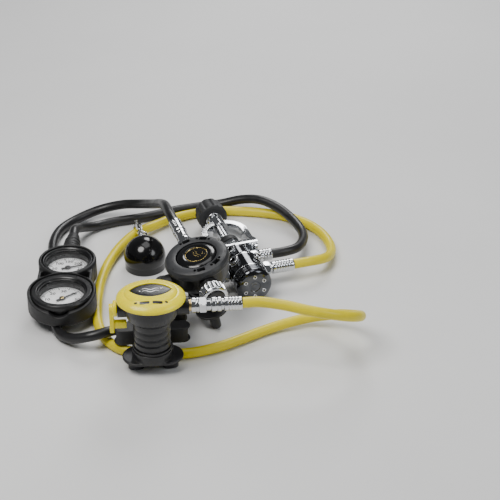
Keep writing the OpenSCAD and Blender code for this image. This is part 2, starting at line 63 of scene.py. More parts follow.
FIRST = T(-18 + OX, -47 + OY, 22) @ R(108, "Z")
PRIM = T(-57.6 + OX, -160.5 + OY, 71.5) @ R(7, "X") @ R(-10, "Y") @ R(-71, "Z")
OCTO = T(-107.5 + OX, -254.8 + OY, 81) @ R(1, "X") @ R(184.5, "Z")
CONS = T(-217.7 + OX, -154 + OY, 13.2)
REAR = CONS @ T(0, 68, 0)
BALL = T(-128.7 + OX, -38.4 + OY, 0)
HOOK = T(-142.5 + OX, 22 + OY, 12) @ R(-70, "Z") @ R(-30, "Y")
X2Z = Matrix(((0, 0, 1, 0), (0, 1, 0, 0), (-1, 0, 0, 0), (0, 0, 0, 1)))   # turns +Z to +X

# ------------------------------------------------------------------ materials, all procedural
def new_mat(name):
    m = bpy.data.materials.new(name)
    m.use_nodes = True
    nt = m.node_tree
    nt.nodes.clear()
    out = nt.nodes.new("ShaderNodeOutputMaterial")
    bs = nt.nodes.new("ShaderNodeBsdfPrincipled")
    nt.links.new(bs.outputs["BSDF"], out.inputs["Surface"])
    return m, nt, bs

def tex(nt, scale, detail=3.0, rough=0.55, kind="NOISE", stretch=None):
    tc = nt.nodes.new("ShaderNodeTexCoord")
    src = tc.outputs["Object"]
    if stretch:
        mp = nt.nodes.new("ShaderNodeMapping")
        mp.inputs["Scale"].default_value = stretch
        nt.links.new(src, mp.inputs["Vector"])
        src = mp.outputs["Vector"]
    if kind == "NOISE":
        n = nt.nodes.new("ShaderNodeTexNoise")
        n.inputs["Scale"].default_value = scale
        n.inputs["Detail"].default_value = detail
        n.inputs["Roughness"].default_value = rough
        nt.links.new(src, n.inputs["Vector"])
        return n.outputs["Fac"]
    n = nt.nodes.new("ShaderNodeTexVoronoi")
    n.inputs["Scale"].default_value = scale
    nt.links.new(src, n.inputs["Vector"])
    return n.outputs["Distance"]

def ranged(nt, fac, a, b, lo=0.3, hi=0.7):
    mr = nt.nodes.new("ShaderNodeMapRange")
    mr.inputs["From Min"].default_value = lo
    mr.inputs["From Max"].default_value = hi
    mr.inputs["To Min"].default_value = a
    mr.inputs["To Max"].default_value = b
    nt.links.new(fac, mr.inputs["Value"])
    return mr.outputs["Result"]

def two_tone(nt, fac, c0, c1, lo=0.3, hi=0.7):
    cr = nt.nodes.new("ShaderNodeValToRGB")
    cr.color_ramp.elements[0].position = lo
    cr.color_ramp.elements[1].position = hi
    cr.color_ramp.elements[0].color = (*c0, 1)
    cr.color_ramp.elements[1].color = (*c1, 1)
    nt.links.new(fac, cr.inputs["Fac"])
    return cr.outputs["Color"]

def make(name, c0, c1, rough=(0.35, 0.5), metal=0.0, scale=60, bump=0.0, bscale=900, bdist=0.0002,
         coat=0.0, coat_rough=0.05, spec=0.5, fine=0.0, stretch=None, sss=0.0, aniso=0.0, sheen=0.0):
    m, nt, bs = new_mat(name)
    nt.links.new(two_tone(nt, tex(nt, scale, 4), c0, c1), bs.inputs["Base Color"])
    nt.links.new(ranged(nt, tex(nt, scale * 2.7, 5, 0.65, stretch=stretch), rough[0], rough[1]), bs.inputs["Roughness"])
    bs.inputs["Metallic"].default_value = metal
    bs.inputs["Specular IOR Level"].default_value = spec
    if coat:
        bs.inputs["Coat Weight"].default_value = coat
        bs.inputs["Coat Roughness"].default_value = coat_rough
    if sss:
        bs.inputs["Subsurface Weight"].default_value = sss
        bs.inputs["Subsurface Scale"].default_value = 0.0015
    if aniso:
        bs.inputs["Anisotropic"].default_value = aniso
    if sheen:
        bs.inputs["Sheen Weight"].default_value = sheen
        bs.inputs["Sheen Roughness"].default_value = 0.4
    if bump:
        b = nt.nodes.new("ShaderNodeBump")
        b.inputs["Strength"].default_value = bump
        b.inputs["Distance"].default_value = bdist
        nt.links.new(tex(nt, bscale, 3, 0.6, stretch=stretch), b.inputs["Height"])
        if fine:
            b2 = nt.nodes.new("ShaderNodeBump")
            b2.inputs["Strength"].default_value = fine
            b2.inputs["Distance"].default_value = 0.00008
            nt.links.new(tex(nt, 4200, 2, 0.5), b2.inputs["Height"])
            nt.links.new(b.outputs["Normal"], b2.inputs["Normal"])
            b = b2
        nt.links.new(b.outputs["Normal"], bs.inputs["Normal"])
    return m

MAT = {
    "chrome": make("chrome_plate", (0.60, 0.61, 0.63), (0.74, 0.75, 0.76), (0.04, 0.11), 1.0, 90, 0.02, 500, 0.0001),
    "chrome_dark": make("chrome_dark", (0.075, 0.078, 0.085), (0.13, 0.134, 0.142), (0.06, 0.13), 1.0, 90, 0.02, 500, 0.0001),
    "steel": make("steel_brushed", (0.46, 0.46, 0.45), (0.62, 0.62, 0.60), (0.22, 0.40), 1.0, 120, 0.15, 700, 0.0001),
    "brass": make("brass_turned", (0.56, 0.40, 0.16), (0.74, 0.55, 0.25), (0.20, 0.38), 1.0, 110, 0.12, 800, 0.0001),
    "black_rubber": make("rubber_moulded", (0.0075, 0.0075, 0.008), (0.014, 0.014, 0.015), (0.44, 0.60), 0.0, 70, 0.35, 1100, 0.00012, fine=0.3),
    "grey_rubber": make("rubber_wheel", (0.016, 0.0165, 0.018), (0.026, 0.027, 0.029), (0.50, 0.66), 0.0, 70, 0.35, 1100, 0.00012, fine=0.35),
    "black_plastic": make("plastic_satin", (0.006, 0.006, 0.0065), (0.011, 0.011, 0.012), (0.26, 0.37), 0.0, 80, 0.2, 1500, 0.00008, fine=0.2),
    "grey_plastic": make("plastic_matte_grey", (0.020, 0.021, 0.023), (0.030, 0.031, 0.034), (0.40, 0.52), 0.0, 80, 0.25, 1700, 0.00008, fine=0.3),
    "gloss_black": make("plastic_gloss", (0.003, 0.003, 0.0035), (0.006, 0.006, 0.0065), (0.13, 0.20), 0.0, 60, 0.03, 260, 0.0002, coat=0.3, spec=0.4),
    "gold": make("gold_print", (0.60, 0.44, 0.14), (0.78, 0.60, 0.24), (0.20, 0.36), 1.0, 200, 0.1, 900, 0.00005),
    "silicone": make("silicone_black", (0.011, 0.011, 0.012), (0.020, 0.020, 0.021), (0.30, 0.46), 0.0, 60, 0.2, 800, 0.0001, sss=0.0, fine=0.15),
    "yellow_plastic": make("plastic_yellow", (0.92, 0.77, 0.0005), (0.97, 0.82, 0.001), (0.22, 0.32), 0.0, 45, 0.08, 500, 0.0001, coat=0.18, coat_rough=0.10, sss=0.05, spec=0.38),
    "yellow_hose": make("hose_yellow", (0.68, 0.56, 0.003), (0.80, 0.66, 0.005), (0.28, 0.44), 0.0, 40, 0.22, 620, 0.00012, fine=0.25, spec=0.4),
    "black_hose": make("hose_black", (0.008, 0.008, 0.0085), (0.016, 0.016, 0.017), (0.30, 0.45), 0.0, 50, 0.22, 620, 0.00012, fine=0.25),
    "dial": make("dial_white", (0.90, 0.905, 0.91), (0.95, 0.955, 0.96), (0.42, 0.52), 0.0, 150, 0.04, 1500, 0.00003),
    "needle": make("needle_black", (0.010, 0.010, 0.010), (0.020, 0.020, 0.020), (0.32, 0.42), 0.0, 200, 0.05, 1500, 0.00003),
}

def make_glass():
    m, nt, bs = new_mat("lens_clear")
    bs.inputs["Base Color"].default_value = (0.96, 0.98, 0.98, 1)
    nt.links.new(ranged(nt, tex(nt, 160, 4), 0.004, 0.02), bs.inputs["Roughness"])
    bs.inputs["IOR"].default_value = 1.46
    bs.inputs["Transmission Weight"].default_value = 1.0
    bs.inputs["Alpha"].default_value = 0.05
    m.blend_method = "BLEND"
    return m

MAT["glass"] = make_glass()

def dress(o, key):
    o.data.materials.clear()
    o.data.materials.append(MAT[key])
    return o

# ------------------------------------------------------------------ hoses (cords, first)
HOSE_D = 12.0
PRIMARY_ROUTE = [[-59.1,-105.6,22],[-77,-111.5,22],[-95,-121,14],[-112,-135,8],[-125,-153,7],[-134,-175,8],[-142,-196,14],
 [-158,-212,20.5],[-179,-220,19],[-201,-213,11],[-217,-197,7],[-225,-174,6.2],[-229,-146,6.2],[-231,-116,6.2],[-234,-86,6.2],
 [-238,-56,6.2],[-243,-24,6.2],[-246,8,6.2],[-240,40,6.2],[-221,66,7],[-194,81,12],[-165,80,20],[-140,66,29],[-123,41,43],
 [-111,13,59],[-103.5,-16,73],[-96.7,-45.3,78.7],[-89.6,-66.1,77.4]]
OCTOPUS_ROUTE = [[52.5,-69.3,22],[71,-63.3,22],[89,-50,18],[99,-26,10],[100,2,6.2],[91,30,6.2],[74,54,6.2],[50,72,6.2],
 [22,82,6.2],[-8,87,6.2],[-40,88,6.2],[-70,82,6.2],[-98,68,7],[-120,47,9],[-142,23,12],[-160,-4,9],[-172,-36,6.2],
 [-178,-70,6.2],[-180,-105,6.2],[-179,-140,6.2],[-175,-175,6.2],[-165,-205,6.2],[-146,-226,6.2],[-121,-235,6.2],
 [-93,-237,6.2],[-65,-234,6.2],[-38,-224,6.2],[-13,-209,6.2],[12,-192,6.2],[40,-178,8],[70,-171,12],[99,-177,20],
 [119,-195,31],[124,-218,45],[113,-239,58],[91,-252,69],[65,-255,76],[38,-250,80],[12,-245.4,81.2],[-8,-247,81.4]]
CONSOLE_ROUTE = [[-217.7,-14,27],[-217.7,4,27],[-213,26,17],[-196,47,7.5],[-174,60,6.2],[-148,68,6.2],[-122,78,6.2],
 [-96,90,6.2],[-67,99,6.2],[-38,104,8],[-10,101,16],[14,90,21],[36,74,19],[54,53,14],[65,27,12],[66,0,15],[58,-27,20],
 [43,-39.8,22],[25.8,-45.4,22]]

def row_point(p):
    return Vector(((p[0] + OX) * MM, (p[1] + OY) * MM, p[2] * MM))

def link(o):
    bpy.context.scene.collection.objects.link(o)
    return o

def hose(name, route, node, key):
    pts = [row_point(p) for p in route]
    cu = bpy.data.curves.new(name, "CURVE")
    cu.dimensions = "3D"
    cu.resolution_u = 14
    cu.bevel_depth = HOSE_D / 2 * MM
    cu.bevel_resolution = 10
    cu.use_fill_caps = True
    sp = cu.splines.new("BEZIER")
    sp.bezier_points.add(len(pts) - 1)
    for i, b in enumerate(sp.bezier_points):
        a = pts[max(i - 1, 0)]
        c = pts[min(i + 1, len(pts) - 1)]
        b.handle_left_type = b.handle_right_type = "FREE"
        b.co = pts[i]
        b.handle_left = pts[i] - (c - a) / 6
        b.handle_right = pts[i] + (c - a) / 6
    o = link(bpy.data.objects.new(name, cu))
    dress(o, key)
    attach(o, "root")
    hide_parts(node)
    return o

hose("hose_octopus", OCTOPUS_ROUTE, "octopus_hose", "yellow_hose")
hose("hose_primary", PRIMARY_ROUTE, "primary_hose", "black_hose")
hose("hose_console", CONSOLE_ROUTE, "console_hose", "black_hose")

# ------------------------------------------------------------------ the CAD nodes' own finish
def crisp(node, key, width=0.35, segs=2, angle=26):
    """Rounds the real edges of a CAD node with modifiers only; its vertices stay as packed."""
    o = NODES[node]
    dress(o, key)
    for name in ("custom_normal",):
        if name in o.data.attributes:
            o.data.attributes.remove(o.data.attributes[name])
    o.data.polygons.foreach_set("use_smooth", [True] * len(o.data.polygons))
    w = o.modifiers.new("weld", "WELD")
    w.merge_threshold = 2e-6
    d = o.modifiers.new("flat", "DECIMATE")
    d.decimate_type = "DISSOLVE"
    d.angle_limit = math.radians(0.6)
    b = o.modifiers.new("edge", "BEVEL")
    b.limit_method = "ANGLE"
    b.angle_limit = math.radians(angle)
    b.width = width * MM
    b.segments = segs
    b.use_clamp_overlap = True
    b.harden_normals = False
    wn = o.modifiers.new("wn", "WEIGHTED_NORMAL")
    wn.keep_sharp = True
    wn.weight = 60
    return o

def soft(node, key, voxel=0.8, rounds=4):
    """Rubber: the CAD node's form with the edges rounded over, by modifiers only."""
    o = NODES[node]
    dress(o, key)
    o.data.polygons.foreach_set("use_smooth", [True] * len(o.data.polygons))
    if "custom_normal" in o.data.attributes:
        o.data.attributes.remove(o.data.attributes["custom_normal"])
    w = o.modifiers.new("weld", "WELD")
    w.merge_threshold = 2e-6
    r = o.modifiers.new("skin", "REMESH")
    r.mode = "VOXEL"
    r.voxel_size = voxel * MM * 1.0
    r.use_smooth_shade = True
    s = o.modifiers.new("ease", "SMOOTH")
    s.factor = 0.5
    s.iterations = rounds
    return o

FINISH = {
    "first_stage_body": "chrome_dark", "end_cap": "chrome_dark", "piston": "brass", "main_spring": "steel", "valve_seat": "black_plastic",
    "inlet_filter": "brass", "yoke_retainer": "chrome", "yoke": "chrome", "screw_pad": "steel", "yoke_screw": "chrome",
    "yoke_knob": "grey_rubber", "dust_cap": "black_rubber", "port_plugs": "chrome", "primary_hose_fitting": "chrome",
    "octopus_hose_fitting": "chrome", "console_hose_fitting": "chrome", "primary_case": "black_plastic",
    "primary_cover_ring": "grey_plastic", "primary_purge_button": "gloss_black", "primary_badge": "gold",
    "primary_diaphragm": "silicone", "primary_lever": "steel", "primary_valve_barrel": "brass", "primary_poppet": "steel",
    "primary_adjust_knob": "chrome", "primary_exhaust_valve": "silicone", "primary_exhaust_tee": "black_rubber",
    "primary_mouthpiece": "silicone", "primary_mouthpiece_tie": "black_plastic", "primary_hose_nut": "chrome",
    "octopus_case": "black_plastic", "octopus_cover": "yellow_plastic", "octopus_purge_pad": "black_plastic",
    "octopus_diaphragm": "silicone", "octopus_lever": "steel", "octopus_valve_barrel": "brass", "octopus_poppet": "steel",
    "octopus_venturi_lever": "yellow_plastic", "octopus_exhaust_valve": "silicone", "octopus_exhaust_tee": "black_rubber",
    "octopus_mouthpiece": "silicone", "octopus_mouthpiece_tie": "black_plastic", "octopus_hose_swivel": "chrome",
    "console_boot": "black_rubber", "console_hose_sleeve": "black_rubber", "pressure_gauge_case": "black_plastic",
    "pressure_dial": "dial", "pressure_needle": "needle", "pressure_lens": "glass", "depth_gauge_case": "black_plastic",
    "depth_dial": "dial", "depth_needle": "needle", "depth_lens": "glass", "holder_ball": "gloss_black",
    "holder_swivel": "chrome", "snap_hook": "chrome", "snap_bolt": "steel",
}
SOFT = {"console_boot": 0.9, "primary_exhaust_tee": 0.8, "octopus_exhaust_tee": 0.8, "primary_mouthpiece": 0.7,
        "octopus_mouthpiece": 0.7, "dust_cap": 0.7, "console_hose_sleeve": 0.55, "yoke_knob": 0.7, "octopus_venturi_lever": 0.5}
FINE_EDGE = {"pressure_needle": 0.1, "depth_needle": 0.1, "primary_lever": 0.15, "octopus_lever": 0.15, "snap_bolt": 0.2,
             "snap_hook": 0.3, "primary_badge": 0.1, "main_spring": 0.0, "holder_swivel": 0.15, "pressure_dial": 0.1,
             "depth_dial": 0.1, "valve_seat": 0.2, "inlet_filter": 0.2, "yoke": 0.9, "yoke_retainer": 0.45}
for node, key in FINISH.items():
    if NODES[node].hide_render:
        continue
    if node in SOFT:
        soft(node, key, SOFT[node])
    elif FINE_EDGE.get(node, 1):
        crisp(node, key, FINE_EDGE.get(node, 0.35))
    else:
        dress(NODES[node], key)
        NODES[node].data.polygons.foreach_set("use_smooth", [True] * len(NODES[node].data.polygons))

# ------------------------------------------------------------------ builders for the detailed pieces
def build(name, verts, faces, M, key, body, node=None, smooth=True, sharp=32):
    me = bpy.data.meshes.new(name)
    me.from_pydata([M @ (Vector(v) * MM) for v in verts], [], faces)
    me.validate()
    me.update()
    bm = bmesh.new()
    bm.from_mesh(me)
    bmesh.ops.remove_doubles(bm, verts=bm.verts, dist=1e-7)
    bmesh.ops.recalc_face_normals(bm, faces=bm.faces)
    bm.to_mesh(me)
    bm.free()
    if smooth:
        me.polygons.foreach_set("use_smooth", [True] * len(me.polygons))
        if sharp:
            me.set_sharp_from_angle(angle=math.radians(sharp))
    o = link(bpy.data.objects.new(name, me))
    dress(o, key)
    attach(o, body)
    if node:
        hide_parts(node)
    return o

def eased(prof, rad=0.5, k=4):
    """The profile with each inner corner rounded."""
    out = [prof[0]]
    for i in range(1, len(prof) - 1):
        a, p, b = Vector(prof[i - 1]), Vector(prof[i]), Vector(prof[i + 1])
        u, v = a - p, b - p
        if u.length < 1e-6 or v.length < 1e-6:
            continue
        r = min(rad, 0.42 * u.length, 0.42 * v.length)
        s, e = p + u.normalized() * r, p + v.normalized() * r
        for j in range(k + 1):
            t = j / k
            q = (1 - t) ** 2 * s + 2 * (1 - t) * t * p + t * t * e
            out.append((q.x, q.y))
    out.append(prof[-1])
    return out

def lathe(name, prof, M, key, body, node=None, axis="z", n=96, wave=None, ease=0.4, sharp=32):
    """Turns (r, h) pairs, in mm, about the local axis. wave(r, h, angle) may change the radius."""
    if ease:
        prof = eased(prof, ease)
    if axis == "x":
        M = M @ X2Z
    verts, faces, rings = [], [], []
    for r, h in prof:
        if r < 1e-6:
            rings.append([len(verts)] * n)
            verts.append((0, 0, h))
        else:
            ids = []
            for i in range(n):
                a = 2 * math.pi * i / n
                q = wave(r, h, a) if wave else r
                ids.append(len(verts))
                verts.append((q * math.cos(a), q * math.sin(a), h))
            rings.append(ids)
    for p, q in zip(rings, rings[1:]):
        for i in range(n):
            j = (i + 1) % n
            f = []
            for v in (p[i], p[j], q[j], q[i]):
                if v not in f:
                    f.append(v)
            if len(f) > 2:
                faces.append(f)
    return build(name, verts, faces, M, key, body, node, sharp=sharp)

def hexed(R6):
    ap = R6 * math.cos(math.radians(30))
    def f(r, h, a):
        return min(r, ap / math.cos((a % math.radians(60)) - math.radians(30)))
    return f

def hex_nut(name, R6, h0, h1, M, key, body, node=None, axis="x"):
    ap = R6 * math.cos(math.radians(30))
    c = R6 - ap
    prof = [(0, h0), (ap - 0.3, h0)]
    for t in (0.25, 0.5, 0.75, 1.0):
        prof.append((ap - 0.3 + (c + 0.3) * t, h0 + 0.9 * t * t + 0.12 * t))
    prof.append((R6, (h0 + h1) / 2))
    for t in (1.0, 0.75, 0.5, 0.25):
        prof.append((ap - 0.3 + (c + 0.3) * t, h1 - 0.9 * t * t - 0.12 * t))
    prof += [(ap - 0.3, h1), (0, h1)]
    return lathe(name, prof, M, key, body, node, axis=axis, n=144, wave=hexed(R6), ease=0, sharp=22)

def crimped(h0, h1, r, depth=0.4, pitch=3.4, width=1.5):
    """Profile points from h0 to h1 with pressed rings."""
    pts, h = [], h0
    s = 1 if h1 > h0 else -1
    while (h1 - h) * s > pitch * 0.9:
        pts += [(r, h), (r, h + s * (pitch - width)), (r - depth, h + s * (pitch - width * 0.7)), (r - depth, h + s * (pitch - width * 0.3))]
        h += s * pitch
    pts += [(r, h), (r, h1)]
    return pts

def flat_marks(name, strips, M, key, body, z, t=0.06):
    """Thin printed or inlaid marks: closed outlines in the XY plane, as low prisms standing on z."""
    verts, faces = [], []
    for s in strips:
        b = len(verts)
        m = len(s)
        verts += [(x, y, z) for x, y in s] + [(x, y, z + t) for x, y in s]
        faces.append([b + m + i for i in range(m)])
        faces.append([b + i for i in reversed(range(m))])
        for i in range(m):
            j = (i + 1) % m
            faces.append([b + i, b + j, b + m + j, b + m + i])
    return build(name, verts, faces, M, key, body, smooth=False)

def bar(cx, cy, ang, length, width):
    c, s = math.cos(ang), math.sin(ang)
    pts = [(-length / 2, -width / 2), (length / 2, -width / 2), (length / 2, width / 2), (-length / 2, width / 2)]
    return [(cx + x * c - y * s, cy + x * s + y * c) for x, y in pts]

def stroke(pts, width):
    """Outline of a line of the given width that tapers at both ends."""
    left, right = [], []
    n = len(pts)
    for i, p in enumerate(pts):
        a, b = Vector(pts[max(i - 1, 0)]), Vector(pts[min(i + 1, n - 1)])
        d = (b - a).normalized()
        w = width / 2 * (0.25 + 0.75 * math.sin(math.pi * (i + 0.35) / (n - 0.3)))
        left.append((p[0] - d.y * w, p[1] + d.x * w))
        right.append((p[0] + d.y * w, p[1] - d.x * w))
    return right + left[::-1]

def numerals(name, items, size, M, key, body, z):
    """Numbers set flat on a dial, turned to meshes."""
    bm = bmesh.new()
    for text, x, y in items:
        cu = bpy.data.curves.new(name + "_t", "FONT")
        cu.body = text
        cu.size = size * MM
        cu.align_x = "CENTER"
        cu.align_y = "CENTER"
        cu.extrude = 0.03 * MM
        cu.offset = 0.17 * MM
        cu.resolution_u = 3
        o = link(bpy.data.objects.new(name + "_t", cu))
        bpy.context.view_layer.update()
        me = bpy.data.meshes.new_from_object(o.evaluated_get(bpy.context.evaluated_depsgraph_get()))
        me.transform(M @ T(x, y, z))
        bm.from_mesh(me)
        bpy.data.objects.remove(o)
        bpy.data.curves.remove(cu)
        bpy.data.meshes.remove(me)
    me = bpy.data.meshes.new(name)
    bm.to_mesh(me)
    bm.free()
    o = link(bpy.data.objects.new(name, me))
    dress(o, key)
    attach(o, body)
    return o

# ------------------------------------------------------------------ gauges
def gauge_print(tag, M, r, step, labels, a0, a1, hub_key, hub_body):
    ticks = []
    n = int(round((a0 - a1) / step))
    for i in range(n + 1):
        a = math.radians(a0 - i * step)
        big = i % 5 == 0
        ln, wd = (4.2, 1.25) if big else (2.5, 0.65)
        rr = r - 1.2 - ln / 2
        ticks.append(bar(rr * math.cos(a), rr * math.sin(a), a, ln, wd))
    ring = []
    for q in range(72):
        a = math.radians(a0) + (math.radians(a1 - a0)) * q / 72
        b = math.radians(a0) + (math.radians(a1 - a0)) * (q + 1) / 72
        ring.append([((r - 0.7) * math.cos(a), (r - 0.7) * math.sin(a)), ((r - 0.7) * math.cos(b), (r - 0.7) * math.sin(b)),
                     ((r - 1.0) * math.cos(b), (r - 1.0) * math.sin(b)), ((r - 1.0) * math.cos(a), (r - 1.0) * math.sin(a))])
    flat_marks(tag + "_scale", ticks + ring, M, "needle", "root", 12.4)
    items = []
    for i, t in enumerate(labels):
        a = math.radians(a0 + (a1 - a0) * i / (len(labels) - 1))
        items.append((t, (r - 9.0) * math.cos(a), (r - 9.0) * math.sin(a)))
    numerals(tag + "_numbers", items, 6.6, M, "needle", "root", 12.42)
    lathe(tag + "_hub_cap", [(0, 15.75), (1.6, 15.7), (2.5, 15.2), (2.6, 14.9), (0, 14.9)], M, hub_key, hub_body, ease=0.2, n=48)
    lathe(tag + "_bezel_line", [(r + 0.15, 22.9), (r + 0.7, 23.3), (r + 1.3, 23.35), (r + 1.5, 23.0), (r + 0.15, 22.9)],
          M @ T(0, 0, 0), "black_plastic", "root", ease=0.1, n=128)

gauge_print("depth", CONS, 26.4, 6, ["0", "10", "20", "30", "40", "50", "60"], 225, -45, "gold", "depth_needle")
gauge_print("pressure", REAR, 24.9, 6, ["0", "50", "100", "150", "200", "250", "300"], 225, -45, "needle", "pressure_needle")

# ------------------------------------------------------------------ badges with a made-up mark (three waves and bubbles)
def waves(scale, dy, n=14):
    return [stroke([(scale * (-6.2 + 12.4 * i / n), scale * (0.9 * math.sin(2 * math.pi * 1.5 * i / n) + k)) for i in range(n + 1)], 0.75 * scale) for k in dy]

def dots(scale, at):
    return [[(scale * (x + r * math.cos(2 * math.pi * i / 18)), scale * (y + r * math.sin(2 * math.pi * i / 18))) for i in range(18)] for x, y, r in at]

lathe("primary_badge_face", [(0, 21.35), (6, 21.3), (12.0, 21.05), (12.5, 20.9), (13.2, 20.75), (13.2, 20.45), (0, 20.45)],
      PRIM, "gloss_black", "primary_purge", "primary_badge", ease=0.15, n=96)
lathe("primary_badge_ring", [(11.9, 20.95), (12.1, 21.32), (12.75, 21.34), (12.95, 20.9), (11.9, 20.95)], PRIM, "gold", "primary_purge", ease=0.1, n=96)
flat_marks("primary_badge_mark", waves(1.15, (1.6, -1.2)) + dots(1.15, ((3.4, 5.3, 0.75), (5.2, 6.8, 0.5), (1.7, 6.6, 0.45))),
           PRIM @ R(14, "Z"), "gold", "primary_purge", 21.3, 0.12)

# ------------------------------------------------------------------ octopus cover: domed oval with a crease round the crown
def almond_y(x, a, b):
    """Half height at x of the almond with half length a and half height b."""
    rad = (a * a + b * b) / (2 * b)
    return max(math.sqrt(max(rad * rad - x * x, 0)) - (rad - b), 0.0)

def almond_outline(a, b, n):
    pts = []
    for i in range(n):
        t = 2 * math.pi * i / n
        x = a * math.cos(t)
        y = almond_y(x, a, b)
        pts.append((x, y if math.sin(t) >= 0 else -y))
    return pts

def oval_shell(name, M, key, body, node):
    n = 192
    A, B = 38.0, 33.0
    rings = []
    def ring(fx, fy, z, mix=0.0):
        al = almond_outline(23.5, 12.95, n)
        pts = []
        for i in range(n):
            t = 2 * math.pi * i / n
            ex, ey = fx * math.cos(t), fy * math.sin(t)
            pts.append((ex * (1 - mix) + al[i][0] * mix, ey * (1 - mix) + al[i][1] * mix, z))
        rings.append(pts)
    # inside lip, under the rim, then out, over the dome and in to the almond
    ring(A - 5.2, B - 5.2, 14.2); ring(A - 2.6, B - 2.2, 12.0); ring(A - 2.4, B - 2.0, 10.5)
    ring(A - 1.5, B - 1.1, 10.25); ring(A - 0.6, B - 0.45, 10.5); ring(A - 0.12, B - 0.1, 11.2)
    ring(A, B, 12.1); ring(A - 0.1, B - 0.1, 13.0); ring(A - 0.7, B - 0.7, 14.1)
    ring(A - 1.6, B - 1.6, 15.2); ring(A - 2.8, B - 2.8, 16.2); ring(A - 4.2, B - 4.2, 17.2)
    ring(A - 5.8, B - 5.8, 18.05); ring(A - 7.2, B - 7.3, 18.65); ring(A - 8.0, B - 8.1, 18.9)
    # crease
    ring(A - 8.5, B - 8.6, 18.85); ring(A - 8.9, B - 9.0, 18.95); ring(A - 9.3, B - 9.5, 19.5)
    ring(A - 10.0, B - 10.4, 20.2); ring(A - 11.2, B - 12.0, 20.9); ring(A - 12.6, B - 14.2, 21.55)
    ring(A - 13.6, B - 16.0, 22.0, 0.25); ring(A - 14.3, B - 17.4, 22.3, 0.6); ring(A - 14.4, B - 18.8, 22.4, 0.85)
    ring(1, 1, 22.3, 1.0); ring(1, 1, 21.9, 1.0); ring(1, 1, 18.2, 1.0)
    # underside
    last = rings[-1]
    rings.append([(x * 1.12, y * 1.12, 17.6) for x, y, z in last])
    ring(A - 10.0, B - 10.0, 16.9); ring(A - 5.2, B - 5.2, 14.2)
    verts = [p for r in rings for p in r]
    faces = []
    for k in range(len(rings) - 1):
        for i in range(n):
            j = (i + 1) % n
            faces.append([k * n + i, k * n + j, (k + 1) * n + j, (k + 1) * n + i])
    o = build(name, verts, faces, M, key, body, node, sharp=0)
    o.data.set_sharp_from_angle(angle=math.radians(42))
    return o

def cutter(name, boxes, M, rad=0.8):
    """Rounded slot cutters, joined in one mesh: (x, y, z, sx, sy, sz)."""
    verts, faces = [], []
    for x, y, z, sx, sy, sz in boxes:
        r = min(rad, sx / 2 - 0.01, sy / 2 - 0.01)
        out = []
        for cx, cy, a0 in ((sx / 2 - r, sy / 2 - r, 0), (-sx / 2 + r, sy / 2 - r, 90), (-sx / 2 + r, -sy / 2 + r, 180), (sx / 2 - r, -sy / 2 + r, 270)):
            for i in range(6):
                a = math.radians(a0 + 90 * i / 5)
                out.append((x + cx + r * math.cos(a), y + cy + r * math.sin(a)))
        b, m = len(verts), len(out)
        verts += [(px, py, z - sz / 2) for px, py in out] + [(px, py, z + sz / 2) for px, py in out]
        faces.append([b + m + i for i in range(m)])
        faces.append([b + i for i in reversed(range(m))])
        for i in range(m):
            j = (i + 1) % m
            faces.append([b + i, b + j, b + m + j, b + m + i])
    me = bpy.data.meshes.new(name)
    me.from_pydata([M @ (Vector(v) * MM) for v in verts], [], faces)
    me.update()
    return link(bpy.data.objects.new(name, me))

def cut(o, c, edge=0.25):
    """Boolean cut, made real, with the new edges eased."""
    b = o.modifiers.new("slots", "BOOLEAN")
    b.operation = "DIFFERENCE"
    b.object = c
    b.solver = "EXACT"
    bpy.context.view_layer.update()
    me = bpy.data.meshes.new_from_object(o.evaluated_get(bpy.context.evaluated_depsgraph_get()))
    old = o.data
    o.modifiers.clear()
    o.data = me
    me.name = old.name + "_cut"
    bpy.data.meshes.remove(old)
    bpy.data.objects.remove(c)
    if edge:
        v = o.modifiers.new("edge", "BEVEL")
        v.limit_method = "ANGLE"
        v.angle_limit = math.radians(48)
        v.width = edge * MM
        v.segments = 2
    return o

cover = oval_shell("octopus_cover_shell", OCTO, "yellow_plastic", "root", "octopus_cover")
cut(cover, cutter("slots_tmp", [(-7, 21.5, 16, 10.8, 3.2, 14), (7, 21.5, 16, 10.8, 3.2, 14), (-16.6, 20.3, 16, 3.2, 2.6, 14), (16.6, 20.3, 16, 3.2, 2.6, 14)], OCTO))

COVER_RINGS = ((4.2, 4.2, 17.2), (5.8, 5.8, 18.05), (7.2, 7.3, 18.65), (8.0, 8.1, 18.9), (8.5, 8.6, 18.85), (8.9, 9.0, 18.95),
               (9.3, 9.5, 19.5), (10.0, 10.4, 20.2), (11.2, 12.0, 20.9), (12.6, 14.2, 21.55), (13.6, 16.0, 22.0), (14.3, 17.4, 22.3))

def cover_height(x, y):
    last = None
    for a, b, z in COVER_RINGS:
        s = (x / (38.0 - a)) ** 2 + (y / (33.0 - b)) ** 2 - 1
        if last and last[0] < 0 <= s:
            return last[1] + (z - last[1]) * (-last[0]) / (s - last[0])
        last = (s, z)
    return 22.0

